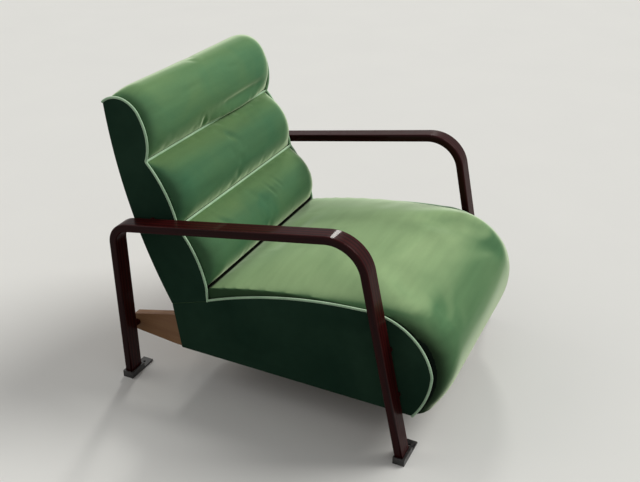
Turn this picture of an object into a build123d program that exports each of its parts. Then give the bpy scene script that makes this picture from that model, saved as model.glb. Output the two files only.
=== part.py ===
from build123d import *
from math import cos, radians, sqrt, tan
import os

# Lounge armchair from the saloon of a passenger coach, in millimetres.
# A flat bentwood strip on each side makes rear leg, arm and front leg in one piece.
# Between the two strips hangs an upholstered seat box with a back of three padded rolls.
# The sitter faces -Y. Left and right are the sitter's own, so the right side is at -X.
# Outlines are drawn from the side as (depth, height): depth runs forward from the
# coach wall behind the chair, height runs up from the floor.

# Widths across the chair
seat_width = 575.0  # over the two upholstered end boards
end_board = 6.0  # thickness of the boards that close the ends of seat and back
arm_gap = 10.0  # from an end board to the bentwood strip beside it

# Bentwood strip, along its centre line
arm_width = 45.0
arm_thickness = 20.0
arm_edge_chamfer = 3.0
arm_corner_depth = 673.0  # where the lines of arm and front leg would cross
arm_corner_height = 546.0
arm_rise = 9.7  # degrees, the arm climbs towards the front
leg_rake = 12.0  # degrees, the front leg's foot stands ahead of the arm
rear_leg_depth = 35.0
front_bend_radius = 84.0
rear_bend_radius = 50.0

# Floor shoes
shoe_floor = 5.0
shoe_wall = 4.0
shoe_height = 18.0
shoe_clearance = 0.3
shoe_tongue = 36.0  # reaches in under the chair and takes the floor screw
floor_hole_radius = 3.5

# Back: the rear face is one shallow arc through three points
rear_top = (10.0, 738.0)
rear_middle = (54.0, 480.0)
rear_foot = (172.0, 190.0)
back_panel_thickness = 6.0
post_thickness = 30.0
post_width = 30.0
pad_clearance = 0.3
seam_upper = (113.0, 600.0)
seam_lower = (187.0, 447.0)
seam_slope = 8.0  # rise of a seam towards the rear
roll_bulge_middle = 52.0
roll_bulge_end = 12.0
roll_end_length = 28.0  # over which a roll draws in to its end board
top_roll_middle = {"forehead": (140.0, 662.0), "brow": (126.0, 731.0), "crown": (67.0, 765.0)}
top_roll_end = {"forehead": (122.0, 650.0), "brow": (108.0, 705.0), "crown": (46.0, 743.0)}
top_padding = 16.0  # over the frame's upper edge

# Seat pad and its end boards
seat_rear_height = 226.0
cheek_front = (262.0, 262.0)
board_rise = (430.0, 316.0)
board_crest = (660.0, 347.0)
board_shoulder = (785.0, 307.0)
board_nose = (832.0, 219.0)
board_under = (822.0, 160.0)
box_bottom_height = 100.0
board_bottom = (792.0, box_bottom_height)
board_rear_rake = 18.0  # the lower rear corner stands this much ahead of the upper one
crease = (262.0, 300.0)  # where the seat meets the lowest roll, at mid width
crease_rear_height = 245.0
crease_end_share = 0.92  # the crease at the end boards, as a share of its full length
pad_crown = 25.0  # the pad's crest is this much higher at mid width than at its ends
nose_crown = 40.0  # and its nose this much further forward
pad_rise = 14.0  # the pad's top stands this far above a straight line from crease to crest
pad_over_board = 2.0
crest_forward = 13.0
crest_share = 0.7  # of the nose's fullness, by which the crest too moves forward
pad_end_length = 40.0

# Seat frame
rail_thickness = 22.0
rail_height = 90.0
rail_tail_height = 46.0
rail_tail_lift = 12.0
slat_thickness = 12.0
slat_width = 45.0
slat_count = 6
front_rail_setback = 25.0  # from the boards' front lower corner back to the rail, which the pad wraps round
slat_margin = 24.0

# Back rails
back_rail_height = 45.0
lower_rail_lift = 14.0  # above the slats

# Spacers between the strip and what it carries
spacer_radius = 8.0
leg_spacer_heights = {"lower": 152.0, "upper": 268.0}
arm_spacer_depth = 122.0
tail_spacer_height = 137.0

# Sizes that follow from the ones above
half_seat = seat_width / 2
half_inner = half_seat - end_board
arm_inner = half_seat + arm_gap
arm_centre = arm_inner + arm_width / 2
rail_top_height = box_bottom_height + rail_height
pad_seat_height = rail_top_height + slat_thickness
front_rail_depth = board_bottom[0] - front_rail_setback
frame_front = back_panel_thickness + post_thickness
frame_top_height = top_roll_end["crown"][1] - top_padding
back_rails = {"lower": pad_seat_height + lower_rail_lift, "middle": seam_lower[1],
              "top": frame_top_height - back_rail_height}


def side(across_x):
    # Drawing plane seen from the sitter's right: first axis forward, second axis up.
    return Plane(origin=(across_x, 0, 0), x_dir=(0, -1, 0), z_dir=(-1, 0, 0))


def slab(outline, low_x, high_x):
    # A flat piece with this side outline, between two places across the chair.
    return extrude(side(high_x) * outline, amount=high_x - low_x, dir=(-1, 0, 0))


def pair(name, right_piece):
    # The right piece and its mirror image on the left.
    return {name + "_right": right_piece, name + "_left": mirror(right_piece, about=Plane.YZ)}


def box_between(low_x, high_x, low_depth, high_depth, low_height, high_height):
    outline = make_face(Polyline((low_depth, low_height), (high_depth, low_height),
                                 (high_depth, high_height), (low_depth, high_height), close=True))
    return slab(outline, low_x, high_x)


# Circle of the back's rear face, from its three points
def circle_through(first, second, third):
    (ax, ay), (bx, by), (cx, cy) = first, second, third
    d = 2 * (ax * (by - cy) + bx * (cy - ay) + cx * (ay - by))
    a2, b2, c2 = ax**2 + ay**2, bx**2 + by**2, cx**2 + cy**2
    ux = (a2 * (by - cy) + b2 * (cy - ay) + c2 * (ay - by)) / d
    uy = (a2 * (cx - bx) + b2 * (ax - cx) + c2 * (bx - ax)) / d
    return (ux, uy), sqrt((ax - ux)**2 + (ay - uy)**2)


rear_centre, rear_radius = circle_through(rear_top, rear_middle, rear_foot)


def back_point(height, forward):
    # Point at this height on the back's arc, moved forward from the rear face.
    reach = rear_radius - forward
    return (rear_centre[0] - sqrt(reach**2 - (height - rear_centre[1])**2), height)


pad_rear = frame_front + pad_clearance
crease_rear = back_point(crease_rear_height, pad_rear)  # here pad and lowest roll meet the back frame
seat_rear = back_point(seat_rear_height, 0)  # upper rear corner of a seat end board


def back_arc(low, high, forward):
    middle = (low + high) / 2
    return ThreePointArc(back_point(low, forward), back_point(middle, forward), back_point(high, forward))


def back_band(low, high, near, far):
    # Strip of the curved back between two heights and two distances from the rear face.
    rear = back_arc(low, high, near)
    front = back_arc(low, high, far)
    return make_face([rear, Line(rear @ 1, front @ 1), front, Line(front @ 0, rear @ 0)])


def bulged(start, end, bulge):
    # Arc from start to end that stands forward of the straight line by the bulge.
    along = Vector(*end) - Vector(*start)
    outward = Vector(-along.Y, along.X).normalized()
    if outward.X < 0:
        outward = outward * -1
    middle = (Vector(*start) + Vector(*end)) * 0.5 + outward * bulge
    return ThreePointArc(Vector(*start), middle, Vector(*end))


# Bentwood strips

def arm_line(x):
    # Centre line from the rear foot over the arm to the front foot.
    rear_corner = arm_corner_height - (arm_corner_depth - rear_leg_depth) * tan(radians(arm_rise))
    below = 2 * arm_thickness  # legs are drawn through the floor, then cut level
    front_foot = arm_corner_depth + (arm_corner_height + below) * tan(radians(leg_rake))
    line = FilletPolyline((rear_leg_depth, -below), (rear_leg_depth, rear_corner),
                          (arm_corner_depth, arm_corner_height), (front_foot, -below),
                          radius=(rear_bend_radius, front_bend_radius))
    return side(x) * line


def arm_height(depth):
    return arm_corner_height - (arm_corner_depth - depth) * tan(radians(arm_rise))


def front_leg_depth(height):
    return arm_corner_depth + (arm_corner_height - height) * tan(radians(leg_rake))


def strip(section, base_height):
    path = arm_line(-arm_centre)
    start = Plane(origin=path @ 0, x_dir=(1, 0, 0), z_dir=path % 0)
    whole = sweep(start * section, path=path)
    return split(whole, bisect_by=Plane.XY.offset(base_height), keep=Keep.TOP)


def make_arms():
    section = chamfer(Rectangle(arm_width, arm_thickness).vertices(), arm_edge_chamfer)
    return pair("arm", strip(section, shoe_floor))


def make_shoes():
    # Each leg stands in a cup whose tongue takes a screw into the floor.
    pocket = strip(Rectangle(arm_width + 2 * shoe_clearance, arm_thickness + 2 * shoe_clearance), shoe_floor)
    outer_x = -arm_centre - arm_width / 2 - shoe_wall
    inner_x = -arm_centre + arm_width / 2 + shoe_wall
    half_length = arm_thickness / 2 / cos(radians(leg_rake)) + shoe_clearance + shoe_wall
    shoes = {}
    for place, depth in {"front": front_leg_depth(shoe_floor), "rear": rear_leg_depth}.items():
        low, high = depth - half_length, depth + half_length
        cup = box_between(outer_x, inner_x, low, high, 0, shoe_height) - pocket
        tongue = box_between(inner_x, inner_x + shoe_tongue, low, high, 0, shoe_floor)
        hole = Pos(inner_x + shoe_tongue / 2, -depth, 0) * Cylinder(floor_hole_radius, 3 * shoe_floor)
        shoes.update(pair("shoe_" + place, cup + tongue - hole))
    return shoes


# Seat frame

def make_seat_frame():
    # The side rails run on behind the seat as tapered tails, out to the rear legs.
    tail_low = box_bottom_height + rail_tail_lift
    tail_depth = rear_leg_depth - arm_thickness / 2
    outline = make_face(Polyline((tail_depth, tail_low), (seat_rear[0], box_bottom_height),
                                 (front_rail_depth, box_bottom_height), (front_rail_depth, rail_top_height),
                                 (seat_rear[0], rail_top_height), (tail_depth, tail_low + rail_tail_height),
                                 close=True))
    frame = pair("seat_side_rail", slab(outline, -half_inner, -half_inner + rail_thickness))
    inside = half_inner - rail_thickness
    front_low = front_rail_depth - rail_thickness
    frame["seat_front_rail"] = box_between(-inside, inside, front_low, front_rail_depth,
                                           box_bottom_height, rail_top_height)
    rear_low = back_point(rail_top_height, back_panel_thickness)[0]
    frame["seat_rear_rail"] = box_between(-inside, inside, rear_low, rear_low + rail_thickness,
                                          box_bottom_height, rail_top_height)
    first = back_point(rail_top_height, frame_front)[0] + slat_margin
    last = front_rail_depth - slat_width
    for number in range(slat_count):
        low = first + (last - first) * number / (slat_count - 1)
        frame[f"seat_slat_{number + 1}"] = box_between(-half_inner, half_inner, low, low + slat_width,
                                                       rail_top_height, pad_seat_height)
    return frame


# Seat end boards: one long board each side, from the wall side to the nose

def seat_board_outline():
    bottom_rear = (seat_rear[0] + board_rear_rake, box_bottom_height)
    return make_face([Line(seat_rear, cheek_front), ThreePointArc(cheek_front, board_rise, board_crest),
                      ThreePointArc(board_crest, board_shoulder, board_nose),
                      ThreePointArc(board_nose, board_under, board_bottom),
                      Line(board_bottom, bottom_rear), Line(bottom_rear, seat_rear)])


def crease_point(share):
    # Point on the line where seat pad and lowest roll meet.
    return tuple(rear + (front - rear) * share for rear, front in zip(crease_rear, crease))


# Points of the seat board's outline that the pad's nose follows, each with the share of
# the nose's fullness that it takes (forward, upward).
nose_shares = {"shoulder": (board_shoulder, 0.87, 0.78), "front": (board_nose, 1.0, 0.0),
               "under": (board_under, 1.0, 0.0), "bottom": (board_bottom, 0.9, 0.0)}


def pad_outline(share, crown, nose):
    # Side outline of the seat pad, which runs from the crease over the nose to the front rail.
    meeting = crease_point(share)
    crest = (board_crest[0] + crest_forward + crest_share * nose, board_crest[1] + pad_over_board + crown)
    rise = ((meeting[0] + crest[0]) / 2, (meeting[1] + crest[1]) / 2 + pad_rise)
    at = {name: (point[0] + forward * nose, point[1] + upward * nose)
          for name, (point, forward, upward) in nose_shares.items()}
    rail_bottom = (front_rail_depth, box_bottom_height)
    rail_top = (front_rail_depth, pad_seat_height)
    rear_bottom = back_point(pad_seat_height, pad_rear)
    return make_face([ThreePointArc(meeting, rise, crest), ThreePointArc(crest, at["shoulder"], at["front"]),
                      ThreePointArc(at["front"], at["under"], at["bottom"]), Line(at["bottom"], rail_bottom),
                      Line(rail_bottom, rail_top), Line(rail_top, rear_bottom),
                      back_arc(pad_seat_height, crease_rear_height, pad_rear), Line(crease_rear, meeting)])


def padded(middle, end, half_width, end_length):
    # Full section along the middle, drawing in to the smaller section at both ends.
    straight = half_width - end_length
    core = slab(middle, -straight, straight)
    right = loft([side(-straight) * middle, side(-half_width) * end], ruled=True)
    return core + right + mirror(right, about=Plane.YZ)


def make_seat():
    seat = pair("seat_end_board", slab(seat_board_outline(), -half_seat, -half_inner))
    middle = pad_outline(1.0, pad_crown, nose_crown)
    end = pad_outline(crease_end_share, 0.0, pad_over_board)
    seat["seat_pad"] = padded(middle, end, half_inner, pad_end_length)
    return seat


# Back: curved frame, plywood panel, three padded rolls and the boards at their ends

def make_back_frame():
    post = back_band(rail_top_height, frame_top_height, back_panel_thickness, frame_front)
    frame = pair("back_post", slab(post, -half_inner, -half_inner + post_width))
    inside = half_inner - post_width
    for name, low in back_rails.items():
        rail = back_band(low, low + back_rail_height, back_panel_thickness, frame_front)
        frame[f"back_{name}_rail"] = slab(rail, -inside, inside)
    panel = back_band(rail_top_height, frame_top_height, 0, back_panel_thickness)
    frame["back_panel"] = slab(panel, -half_inner, half_inner)
    return frame


base_height = frame_top_height + pad_clearance  # the top roll sits on the frame's upper edge
rear_base = back_point(base_height, 0)


def seam_rear(seam):
    return back_point(seam[1] + seam_slope, pad_rear)


def top_arcs(points):
    # Over the top roll, from the upper seam to the rear face.
    return [ThreePointArc(seam_upper, points["forehead"], points["brow"]),
            ThreePointArc(points["brow"], points["crown"], rear_base)]


def top_outline(points):
    low = seam_rear(seam_upper)
    return make_face(top_arcs(points) + [Line(rear_base, back_point(base_height, pad_rear)),
                                         back_arc(low[1], base_height, pad_rear), Line(low, seam_upper)])


def middle_outline(bulge):
    upper, lower = seam_rear(seam_upper), seam_rear(seam_lower)
    return make_face([bulged(seam_upper, seam_lower, bulge), Line(seam_lower, lower),
                      back_arc(lower[1], upper[1], pad_rear), Line(upper, seam_upper)])


def lower_outline(bulge, share):
    upper, meeting = seam_rear(seam_lower), crease_point(share)
    return make_face([bulged(seam_lower, meeting, bulge), Line(meeting, crease_rear),
                      back_arc(crease_rear_height, upper[1], pad_rear), Line(upper, seam_lower)])


def make_rolls():
    # Each roll has a full outline at mid width and a slack one at its ends.
    outlines = {"top": (top_outline(top_roll_middle), top_outline(top_roll_end)),
                "middle": (middle_outline(roll_bulge_middle), middle_outline(roll_bulge_end)),
                "lower": (lower_outline(roll_bulge_middle, 1.0), lower_outline(roll_bulge_end, crease_end_share))}
    return {f"back_roll_{name}": padded(full, slack, half_inner, roll_end_length)
            for name, (full, slack) in outlines.items()}


def make_back_boards():
    # The lower edge sits on the straight rear part of the seat board's upper edge.
    low_front = crease_point(crease_end_share)
    slope = (cheek_front[1] - seat_rear[1]) / (cheek_front[0] - seat_rear[0])
    seat_front = (low_front[0], seat_rear[1] + slope * (low_front[0] - seat_rear[0]))
    outline = make_face(top_arcs(top_roll_end) + [
        back_arc(seat_rear_height, base_height, 0), Line(seat_rear, seat_front), Line(seat_front, low_front),
        bulged(low_front, seam_lower, roll_bulge_end), bulged(seam_lower, seam_upper, roll_bulge_end)])
    return pair("back_end_board", slab(outline, -half_seat, -half_inner))


# Spacers, which hold the strips clear of the boards and carry the chair on them

def make_spacers():
    def turned(x_low, x_high, depth, height):
        length = x_high - x_low
        rod = Rotation(0, 90, 0) * Cylinder(spacer_radius, length)
        return Pos((x_low + x_high) / 2, -depth, height) * rod

    spacers = {}
    for place, height in leg_spacer_heights.items():
        piece = turned(-arm_inner, -half_seat, front_leg_depth(height), height)
        spacers.update(pair("leg_spacer_" + place, piece))
    spacers.update(pair("arm_spacer", turned(-arm_inner, -half_seat, arm_spacer_depth, arm_height(arm_spacer_depth))))
    spacers.update(pair("tail_spacer", turned(-arm_inner, -half_inner, rear_leg_depth, tail_spacer_height)))
    return spacers


pieces = {}
for group in (make_arms(), make_shoes(), make_seat_frame(), make_seat(), make_back_frame(), make_rolls(),
              make_back_boards(), make_spacers()):
    pieces.update(group)

# The origin is on the floor below the middle of the chair's box.
bounds = Compound(list(pieces.values())).bounding_box()
to_middle = Pos(0, -(bounds.min.Y + bounds.max.Y) / 2, 0)

os.makedirs("parts", exist_ok=True)
for node, piece in pieces.items():
    export_step(to_middle * piece, f"parts/{node}.step")
print(len(pieces), "nodes, size", bounds.size, "shift", to_middle.position)
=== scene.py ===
import math
import time

import bmesh
import bpy
import numpy as np
from mathutils import Matrix, Vector, noise
from mathutils.bvhtree import BVHTree


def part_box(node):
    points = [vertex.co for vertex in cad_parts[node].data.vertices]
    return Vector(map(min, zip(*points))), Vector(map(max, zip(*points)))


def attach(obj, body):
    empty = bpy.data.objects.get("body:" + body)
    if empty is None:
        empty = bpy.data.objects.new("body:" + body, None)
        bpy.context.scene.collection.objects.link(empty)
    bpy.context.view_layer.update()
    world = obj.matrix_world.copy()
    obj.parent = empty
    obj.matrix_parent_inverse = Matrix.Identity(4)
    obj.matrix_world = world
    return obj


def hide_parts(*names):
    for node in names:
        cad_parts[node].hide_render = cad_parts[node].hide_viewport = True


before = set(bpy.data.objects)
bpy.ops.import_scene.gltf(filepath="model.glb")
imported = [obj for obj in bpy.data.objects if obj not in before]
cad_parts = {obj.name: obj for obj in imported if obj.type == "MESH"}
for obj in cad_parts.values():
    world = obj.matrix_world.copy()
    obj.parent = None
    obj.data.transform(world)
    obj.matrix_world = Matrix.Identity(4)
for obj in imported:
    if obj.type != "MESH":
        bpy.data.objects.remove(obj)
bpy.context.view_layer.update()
print("frame loaded,", len(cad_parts), "nodes")

scene = bpy.context.scene
scene.view_settings.view_transform = "Standard"

# The photo's viewing angle on the one chair
cameraLook = {"eye": (-1.780, -0.842, 1.391), "aim": (-0.03, 0.004, 0.345), "lens": 49.0}

cameraData = bpy.data.cameras.new("camera")
cameraData.lens = cameraLook["lens"]
camera = bpy.data.objects.new("camera", cameraData)
camera.location = cameraLook["eye"]
sightLine = Vector(cameraLook["aim"]) - Vector(cameraLook["eye"])
camera.rotation_euler = sightLine.to_track_quat("-Z", "Y").to_euler()
scene.collection.objects.link(camera)
scene.camera = camera


quarter = math.pi / 2

# Depth runs forward from a line a little behind the chair, height up from the floor
rearLegToLine = 0.025
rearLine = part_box("arm_right")[1].y + rearLegToLine


def sidePoint(x, depth, height):
    return Vector((x, rearLine - depth, height))


def sideOf(point):
    return Vector((rearLine - point.y, point.z))


# Shader helpers

def addNode(tree, kind, place, inputs=None, **settings):
    node = tree.nodes.new(kind)
    node.location = place
    for name, value in settings.items():
        setattr(node, name, value)
    for name, value in (inputs or {}).items():
        node.inputs[name].default_value = value
    return node


def startGroup(name, inputs, outputs):
    group = bpy.data.node_groups.new(name, "ShaderNodeTree")
    for label, kind, value in inputs:
        socket = group.interface.new_socket(name=label, in_out="INPUT", socket_type=kind)
        if value is not None:
            socket.default_value = value
    for label, kind in outputs:
        group.interface.new_socket(name=label, in_out="OUTPUT", socket_type=kind)
    start = group.nodes.new("NodeGroupInput")
    end = group.nodes.new("NodeGroupOutput")
    start.location, end.location = (-900, 0), (900, 0)
    return group, start, end


def colourRamp(tree, place, stops):
    ramp = addNode(tree, "ShaderNodeValToRGB", place)
    while len(ramp.color_ramp.elements) < len(stops):
        ramp.color_ramp.elements.new(0.5)
    for element, (position, grey) in zip(ramp.color_ramp.elements, stops):
        element.position = position
        element.color = (grey, grey, grey, 1)
    return ramp


def buildNapGroup():
    # Short pile: brushed patches, painted top light making upward faces paler, faint wiping streaks and the
    # pile itself
    group, start, end = startGroup("pileNap", [
        ("Vector", "NodeSocketVector", None), ("Shade", "NodeSocketColor", (0, 0, 0, 1)),
        ("Brushed", "NodeSocketColor", (1, 1, 1, 1)), ("Top Lit", "NodeSocketColor", (1, 1, 1, 1)),
        ("Top Light Share", "NodeSocketFloat", 0.8), ("Top Light Start", "NodeSocketFloat", 0.5),
        ("Patch Scale", "NodeSocketFloat", 6.0),
        ("Pile Scale", "NodeSocketFloat", 700.0)],
        [("Color", "NodeSocketColor"), ("Height", "NodeSocketFloat"), ("Roughness", "NodeSocketFloat")])
    link = group.links.new
    patches = addNode(group, "ShaderNodeTexNoise", (-600, 200),
                      {"Detail": 3.0, "Roughness": 0.5, "Distortion": 0.8})
    link(start.outputs["Vector"], patches.inputs["Vector"])
    link(start.outputs["Patch Scale"], patches.inputs["Scale"])
    brushed = colourRamp(group, (-400, 200), [(0.30, 0.0), (0.72, 1.0)])
    link(patches.outputs["Fac"], brushed.inputs["Fac"])
    stretch = addNode(group, "ShaderNodeMapping", (-750, -50), {"Scale": (5.0, 45.0, 45.0)})
    link(start.outputs["Vector"], stretch.inputs["Vector"])
    streaks = addNode(group, "ShaderNodeTexNoise", (-600, -50),
                      {"Scale": 1.0, "Detail": 2.0, "Roughness": 0.5})
    link(stretch.outputs["Vector"], streaks.inputs["Vector"])
    pile = addNode(group, "ShaderNodeTexNoise", (-600, -300), {"Detail": 2.0, "Roughness": 0.7})
    link(start.outputs["Vector"], pile.inputs["Vector"])
    link(start.outputs["Pile Scale"], pile.inputs["Scale"])
    blend = addNode(group, "ShaderNodeMix", (-100, 200), data_type="RGBA")
    link(brushed.outputs["Color"], blend.inputs["Factor"])
    link(start.outputs["Shade"], blend.inputs["A"])
    link(start.outputs["Brushed"], blend.inputs["B"])
    # Painted top light: upward-facing surfaces blend towards the pale tone
    facing = addNode(group, "ShaderNodeNewGeometry", (-800, 500))
    split = addNode(group, "ShaderNodeSeparateXYZ", (-600, 500))
    link(facing.outputs["Normal"], split.inputs["Vector"])
    upward = addNode(group, "ShaderNodeMapRange", (-400, 500), {"From Max": 1.0},
                     interpolation_type="SMOOTHSTEP")
    link(split.outputs["Z"], upward.inputs["Value"])
    link(start.outputs["Top Light Start"], upward.inputs["From Min"])
    uneven = addNode(group, "ShaderNodeMath", (-200, 450), {1: 0.35, 2: 0.70}, operation="MULTIPLY_ADD")
    link(brushed.outputs["Color"], uneven.inputs[0])
    reached = addNode(group, "ShaderNodeMath", (-50, 500), operation="MULTIPLY")
    link(upward.outputs["Result"], reached.inputs[0])
    link(uneven.outputs["Value"], reached.inputs[1])
    share = addNode(group, "ShaderNodeMath", (80, 450), operation="MULTIPLY", use_clamp=True)
    link(reached.outputs["Value"], share.inputs[0])
    link(start.outputs["Top Light Share"], share.inputs[1])
    topLitTone = addNode(group, "ShaderNodeMix", (200, 350), data_type="RGBA")
    link(share.outputs["Value"], topLitTone.inputs["Factor"])
    link(blend.outputs["Result"], topLitTone.inputs["A"])
    link(start.outputs["Top Lit"], topLitTone.inputs["B"])
    streakTone = addNode(group, "ShaderNodeMapRange", (-350, -50), {"To Min": 0.88, "To Max": 1.12})
    link(streaks.outputs["Fac"], streakTone.inputs["Value"])
    pileTone = addNode(group, "ShaderNodeMapRange", (-350, -300), {"To Min": 0.8, "To Max": 1.2})
    link(pile.outputs["Fac"], pileTone.inputs["Value"])
    tone = addNode(group, "ShaderNodeMath", (-100, -150), operation="MULTIPLY")
    link(streakTone.outputs["Result"], tone.inputs[0])
    link(pileTone.outputs["Result"], tone.inputs[1])
    toned = addNode(group, "ShaderNodeVectorMath", (450, 100), operation="SCALE")
    link(topLitTone.outputs["Result"], toned.inputs[0])
    link(tone.outputs["Value"], toned.inputs["Scale"])
    rough = addNode(group, "ShaderNodeMapRange", (150, -200), {"To Min": 0.95, "To Max": 0.75})
    link(brushed.outputs["Color"], rough.inputs["Value"])
    link(toned.outputs["Vector"], end.inputs["Color"])
    link(pile.outputs["Fac"], end.inputs["Height"])
    link(rough.outputs["Result"], end.inputs["Roughness"])
    return group


def buildGrainGroup():
    # Long fibres along X with slow figure across them
    group, start, end = startGroup("woodGrain", [
        ("Vector", "NodeSocketVector", None), ("Early", "NodeSocketColor", (1, 1, 1, 1)),
        ("Late", "NodeSocketColor", (0, 0, 0, 1)), ("Fibre Scale", "NodeSocketFloat", 300.0),
        ("Figure Scale", "NodeSocketFloat", 25.0)],
        [("Color", "NodeSocketColor"), ("Height", "NodeSocketFloat")])
    link = group.links.new
    squeeze = addNode(group, "ShaderNodeMapping", (-700, 0), {"Scale": (0.04, 1.0, 1.0)})
    link(start.outputs["Vector"], squeeze.inputs["Vector"])
    fibres = addNode(group, "ShaderNodeTexNoise", (-500, 150), {"Detail": 3.0, "Roughness": 0.65})
    link(squeeze.outputs["Vector"], fibres.inputs["Vector"])
    link(start.outputs["Fibre Scale"], fibres.inputs["Scale"])
    figure = addNode(group, "ShaderNodeTexWave", (-500, -150), {"Distortion": 5.0, "Detail": 2.0},
                     wave_type="BANDS", bands_direction="Y")
    link(squeeze.outputs["Vector"], figure.inputs["Vector"])
    link(start.outputs["Figure Scale"], figure.inputs["Scale"])
    share = addNode(group, "ShaderNodeMath", (-250, 50), {1: 0.6}, operation="MULTIPLY")
    link(fibres.outputs["Fac"], share.inputs[0])
    mixed = addNode(group, "ShaderNodeMath", (-50, 0), {1: 0.4}, operation="MULTIPLY_ADD")
    link(figure.outputs["Fac"], mixed.inputs[0])
    link(share.outputs["Value"], mixed.inputs[2])
    ramp = colourRamp(group, (150, 0), [(0.2, 0.0), (0.75, 1.0)])
    link(mixed.outputs["Value"], ramp.inputs["Fac"])
    blend = addNode(group, "ShaderNodeMix", (450, 100), data_type="RGBA")
    link(ramp.outputs["Color"], blend.inputs["Factor"])
    link(start.outputs["Late"], blend.inputs["A"])
    link(start.outputs["Early"], blend.inputs["B"])
    link(blend.outputs["Result"], end.inputs["Color"])
    link(mixed.outputs["Value"], end.inputs["Height"])
    return group


def buildHandlingGroup():
    # Smears and rubbed spots left by hands and cleaning
    group, start, end = startGroup("handling", [
        ("Vector", "NodeSocketVector", None), ("Scale", "NodeSocketFloat", 18.0),
        ("Clean", "NodeSocketFloat", 0.2), ("Rubbed", "NodeSocketFloat", 0.45)],
        [("Roughness", "NodeSocketFloat"), ("Mask", "NodeSocketFloat")])
    link = group.links.new
    smears = addNode(group, "ShaderNodeTexNoise", (-500, 0),
                     {"Detail": 5.0, "Roughness": 0.6, "Distortion": 1.2})
    link(start.outputs["Vector"], smears.inputs["Vector"])
    link(start.outputs["Scale"], smears.inputs["Scale"])
    mask = colourRamp(group, (-250, 0), [(0.42, 0.0), (0.7, 1.0)])
    link(smears.outputs["Fac"], mask.inputs["Fac"])
    rough = addNode(group, "ShaderNodeMapRange", (150, 0))
    link(mask.outputs["Color"], rough.inputs["Value"])
    link(start.outputs["Clean"], rough.inputs["To Min"])
    link(start.outputs["Rubbed"], rough.inputs["To Max"])
    link(rough.outputs["Result"], end.inputs["Roughness"])
    link(mask.outputs["Color"], end.inputs["Mask"])
    return group


napGroup = buildNapGroup()
grainGroup = buildGrainGroup()
handlingGroup = buildHandlingGroup()


def placeGroup(tree, group, place, inputs=None):
    node = tree.nodes.new("ShaderNodeGroup")
    node.node_tree = group
    node.location = place
    for name, value in (inputs or {}).items():
        node.inputs[name].default_value = value
    return node


def startMaterial(name, vectorFrom="Object", turn=(0, 0, 0)):
    material = bpy.data.materials.new(name)
    material.use_nodes = True
    tree = material.node_tree
    shader = tree.nodes["Principled BSDF"]
    if vectorFrom == "Object":
        source = addNode(tree, "ShaderNodeTexCoord", (-1200, 0)).outputs["Object"]
    else:
        source = addNode(tree, "ShaderNodeAttribute", (-1200, 0),
                         attribute_name=vectorFrom).outputs["Vector"]
    mapping = addNode(tree, "ShaderNodeMapping", (-1000, 0), {"Rotation": turn})
    tree.links.new(source, mapping.inputs["Vector"])
    return material, tree, shader, mapping.outputs["Vector"]


def placeGrain(tree, place, look):
    grain = placeGroup(tree, grainGroup, (-700, 100), {
        "Early": look["early"], "Late": look["late"],
        "Fibre Scale": look["fibre"], "Figure Scale": look["figure"]})
    tree.links.new(place, grain.inputs["Vector"])
    return grain


def placeWear(tree, shader, place, look):
    wear = placeGroup(tree, handlingGroup, (-700, -250), {
        "Scale": look["smears"], "Clean": look["clean"], "Rubbed": look["rubbed"]})
    tree.links.new(place, wear.inputs["Vector"])
    tree.links.new(wear.outputs["Roughness"], shader.inputs["Roughness"])
    return wear


def addBump(tree, shader, height, strength, distance):
    bump = addNode(tree, "ShaderNodeBump", (-250, -350), {"Strength": strength, "Distance": distance})
    tree.links.new(height, bump.inputs["Height"])
    tree.links.new(bump.outputs["Normal"], shader.inputs["Normal"])


# The pale tone mixed onto upward faces is painted top light, rim and edge are painted sheen at grazing
# views, and sunk sets how far the painted shade darkens the colour
velvetLook = {
    "shade": (0.068, 0.184, 0.094, 1), "brushed": (0.108, 0.212, 0.096, 1),
    "topLitTone": (0.180, 0.285, 0.105, 1), "topLightShare": 0.55, "topLightStart": 0.60,
    "patch": 4.5, "pile": 900.0, "specular": 0.08,
    "sheen": 0.8, "sheenRough": 0.22, "sheenTint": (0.86, 1.0, 0.68, 1),
    "rim": (0.46, 0.62, 0.38, 1), "rimShare": 0.65, "rimSpan": (0.52, 0.88),
    "edge": (0.72, 0.88, 0.62, 1), "edgeShare": 0.90, "edgeSpan": (0.66, 0.90),
    "sunk": 0.95, "bump": 0.35, "bumpDepth": 0.0006}
# Lighter copy for the top roll: painted light, as the top roll gets more light than the rolls below
litTopVelvetLook = dict(velvetLook, shade=(0.092, 0.236, 0.122, 1), brushed=(0.150, 0.280, 0.124, 1), topLightShare=0.35)
# Seat copy with a strong pale tone on its top: painted top light, so the flat top reads brighter than the
# front of the nose
litSeatVelvetLook = dict(velvetLook, shade=(0.082, 0.192, 0.088, 1), brushed=(0.130, 0.245, 0.112, 1),
                      topLitTone=(0.326, 0.470, 0.236, 1), topLightShare=1.0, topLightStart=0.79)
# Much darker copy for the end boards' flat faces: painted shade, the same velvet as the rolls
shadedSideVelvetLook = dict(velvetLook, shade=(0.010, 0.032, 0.019, 1), brushed=(0.018, 0.048, 0.028, 1),
                      sheen=0.18, rimShare=0.15, edgeShare=0.0)
# Dark copy without sheen for faces where the painted shade is darkest
paintedShadeVelvetLook = dict(shadedSideVelvetLook, sheen=0.0, rimShare=0.0)
pipingLook = dict(velvetLook, shade=(0.42, 0.64, 0.42, 1), brushed=(0.54, 0.76, 0.53, 1),
                  topLitTone=(0.62, 0.80, 0.57, 1), patch=25.0, sheen=0.3, sheenTint=(0.85, 1.0, 0.85, 1),
                  rim=(0.76, 0.92, 0.74, 1), edgeShare=0.0)


def turnedAway(tree, grazing, place, span, most):
    # Rises from 0 to most as the surface turns away from the view, between the two values of the span
    share = addNode(tree, "ShaderNodeMapRange", place, {
        "From Min": span[0], "From Max": span[1], "To Max": most}, interpolation_type="SMOOTHSTEP")
    tree.links.new(grazing.outputs["Facing"], share.inputs["Value"])
    return share.outputs["Result"]


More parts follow.
